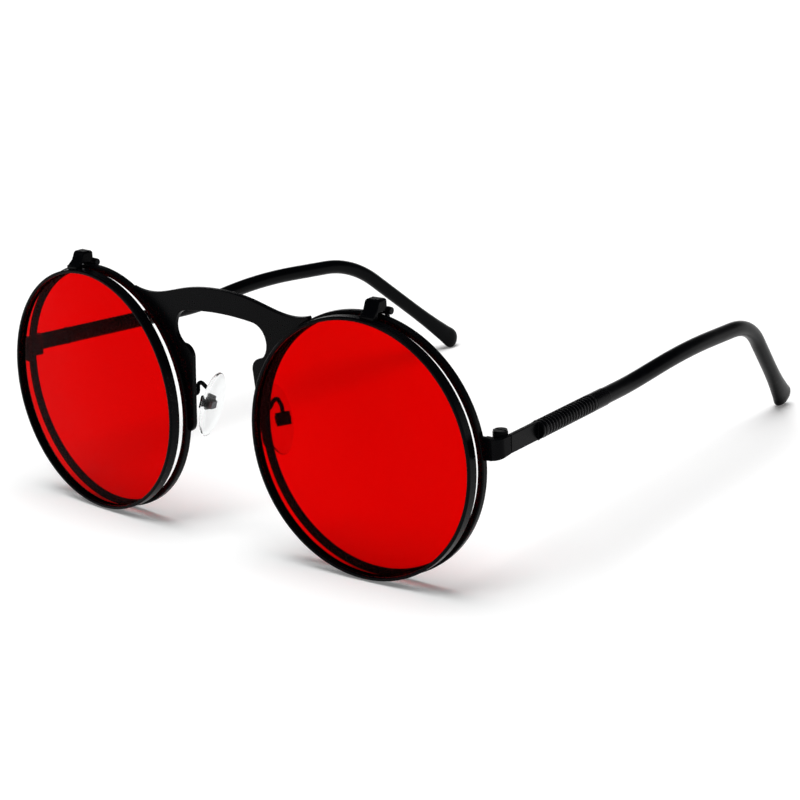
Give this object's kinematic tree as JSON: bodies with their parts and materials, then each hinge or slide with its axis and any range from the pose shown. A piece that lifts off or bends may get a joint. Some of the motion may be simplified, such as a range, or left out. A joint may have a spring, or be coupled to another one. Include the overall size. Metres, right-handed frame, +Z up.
{
  "type": "flip up sunglasses",
  "caption": "Round metal sunglasses whose tinted lenses flip up on top hinges over clear lenses, with a keyhole bridge, nose pads and folding spring temples.",
  "frame": {"origin": "bottom centre of the open glasses, on the surface they stand on", "axes": "+Z up, lenses face -Y, temples run back along +Y, +X is the wearer's left"},
  "size_m": [0.13, 0.1332, 0.0534],
  "materials": {
    "black_metal": "satin black",
    "spring_wire": "satin black wire",
    "dark_screw": "blackened steel",
    "red_lens": "clear red tint, polished",
    "clear_lens": "colourless, polished",
    "clear_pad": "clear soft plastic",
    "tip_plastic": "semi gloss black"
  },
  "bodies": {
    "front": {"bridge_plate": "black_metal", "rear_rim_left": "black_metal", "clear_lens_left": "clear_lens", "flip_bracket_left": "black_metal", "flip_screw_left": "dark_screw", "endpiece_left": "black_metal", "front_hinge_left": "black_metal", "temple_pin_left": "dark_screw", "rim_lock_left": "black_metal", "lock_screw_left": "dark_screw", "pad_arm_left": "black_metal", "pad_box_left": "black_metal", "pad_pin_left": "dark_screw", "rear_rim_right": "black_metal", "clear_lens_right": "clear_lens", "flip_bracket_right": "black_metal", "flip_screw_right": "dark_screw", "endpiece_right": "black_metal", "front_hinge_right": "black_metal", "temple_pin_right": "dark_screw", "rim_lock_right": "black_metal", "lock_screw_right": "dark_screw", "pad_arm_right": "black_metal", "pad_box_right": "black_metal", "pad_pin_right": "dark_screw"},
    "flip_left": {"flip_rim_left": "black_metal", "tinted_lens_left": "red_lens", "flip_lug_left": "black_metal"},
    "temple_left": {"temple_hinge_left": "black_metal", "temple_bar_left": "black_metal", "temple_spring_left": "spring_wire", "temple_collar_left": "black_metal", "temple_tip_left": "tip_plastic"},
    "pad_left": {"nose_pad_left": "clear_pad", "pad_mount_left": "dark_screw"},
    "flip_right": {"flip_rim_right": "black_metal", "tinted_lens_right": "red_lens", "flip_lug_right": "black_metal"},
    "temple_right": {"temple_hinge_right": "black_metal", "temple_bar_right": "black_metal", "temple_spring_right": "spring_wire", "temple_collar_right": "black_metal", "temple_tip_right": "tip_plastic"},
    "pad_right": {"nose_pad_right": "clear_pad", "pad_mount_right": "dark_screw"}
  },
  "joints": [
    {"name": "flip_left", "type": "hinge", "parent": "front", "child": "flip_left", "pos_m": [0.03892, -0.05894, 0.0509], "axis": [-0.9979, -0.0645, 0], "range_deg": [0, 95]},
    {"name": "flip_right", "type": "hinge", "parent": "front", "child": "flip_right", "pos_m": [-0.03892, -0.05894, 0.0509], "axis": [-0.9979, 0.0645, 0], "range_deg": [0, 95]},
    {"name": "fold_left", "type": "hinge", "parent": "front", "child": "temple_left", "pos_m": [0.0624, -0.05619, 0.02915], "axis": [0, 0, 1], "range_deg": [0, 81]},
    {"name": "fold_right", "type": "hinge", "parent": "front", "child": "temple_right", "pos_m": [-0.0624, -0.05619, 0.02915], "axis": [0, 0, -1], "range_deg": [0, 65]},
    {"name": "rock_left", "type": "hinge", "parent": "front", "child": "pad_left", "pos_m": [0.01039, -0.0572, 0.02512], "axis": [0.1045, 0.9891, -0.104], "range_deg": [-10, 10]},
    {"name": "rock_right", "type": "hinge", "parent": "front", "child": "pad_right", "pos_m": [-0.01039, -0.0572, 0.02512], "axis": [-0.1045, 0.9891, -0.104], "range_deg": [-10, 10]}
  ]
}
